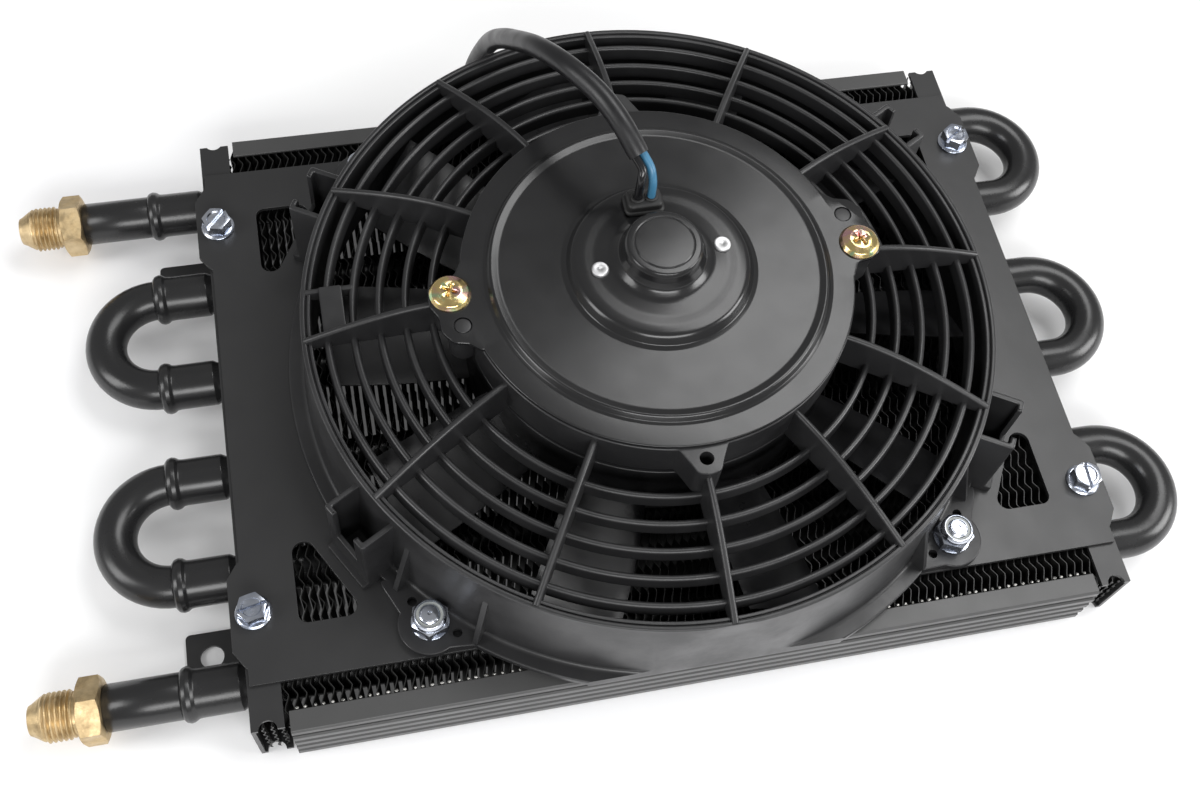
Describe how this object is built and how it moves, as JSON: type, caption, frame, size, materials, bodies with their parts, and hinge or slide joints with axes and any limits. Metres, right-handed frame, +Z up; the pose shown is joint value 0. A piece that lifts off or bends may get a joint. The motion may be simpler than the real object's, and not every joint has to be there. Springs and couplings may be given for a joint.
{
  "type": "hydraulic oil cooler",
  "caption": "Fan-cooled tube-and-fin hydraulic oil cooler: serpentine tube core in a sheet frame, flare fittings, and an electric puller fan with its lead.",
  "frame": {"origin": "where the fan's axis meets the plane that the cooler stands on, in the middle of the fins' open face", "axes": "+X along the tubes, away from the two fittings; +Y across the core towards the inlet tube; +Z up along the fan's axis, away from the fins"},
  "size_m": [0.3588, 0.2186, 0.107],
  "materials": {
    "fin_metal": "satin",
    "painted_tube": "satin",
    "painted_sheet": "satin",
    "brass": "matte",
    "zinc": "satin",
    "nylon": "matte",
    "shroud_plastic": "satin",
    "fan_plastic": "satin",
    "motor_paint": "satin",
    "steel": "satin",
    "ferrite": "matte",
    "bronze": "satin",
    "card": "matte",
    "carbon": "matte",
    "aluminium": "satin",
    "yellow_zinc": "gloss",
    "rubber": "matte",
    "lamination": "satin",
    "copper": "satin",
    "blue_wire": "gloss",
    "black_wire": "gloss",
    "sleeve": "satin",
    "connector_plastic": "satin",
    "seal_rubber": "matte"
  },
  "bodies": {
    "cooler": {"core_fin_pack": "fin_metal", "hairpin_tube_rear": "painted_tube", "hairpin_tube_middle": "painted_tube", "hairpin_tube_front": "painted_tube", "return_bend_rear": "painted_tube", "return_bend_front": "painted_tube", "inlet_stub_tube": "painted_tube", "outlet_stub_tube": "painted_tube", "inlet_flare_fitting": "brass", "outlet_flare_fitting": "brass", "end_plate_left": "painted_sheet", "end_plate_right": "painted_sheet", "side_rail_front": "painted_sheet", "side_rail_rear": "painted_sheet", "fan_plate_left": "painted_sheet", "fan_plate_right": "painted_sheet", "plate_screws": "zinc", "shroud_studs": "zinc", "shroud_lock_nuts": "zinc", "nut_inserts": "nylon", "fan_shroud": "shroud_plastic", "motor_cover": "motor_paint", "motor_can": "steel", "motor_magnets": "ferrite", "upper_bush": "bronze", "lower_bush": "bronze", "brush_card": "card", "brush_holders": "brass", "carbon_brushes": "carbon", "brush_springs": "steel", "motor_rivets": "aluminium", "motor_screws": "yellow_zinc", "wire_grommet": "rubber", "wire_blue": "blue_wire", "wire_black": "black_wire", "lead_sleeve": "sleeve", "lead_connector": "connector_plastic", "connector_seal": "seal_rubber"},
    "fan_rotor": {"motor_shaft": "steel", "armature_core": "lamination", "armature_windings": "copper", "commutator": "copper", "fan_impeller": "fan_plastic", "impeller_washer": "zinc", "impeller_nut": "zinc"}
  },
  "joints": [
    {"name": "fan_spin", "type": "hinge", "parent": "cooler", "child": "fan_rotor", "pos_m": [0, 0, 0.04], "axis": [0, 0, 1], "continuous": true}
  ]
}
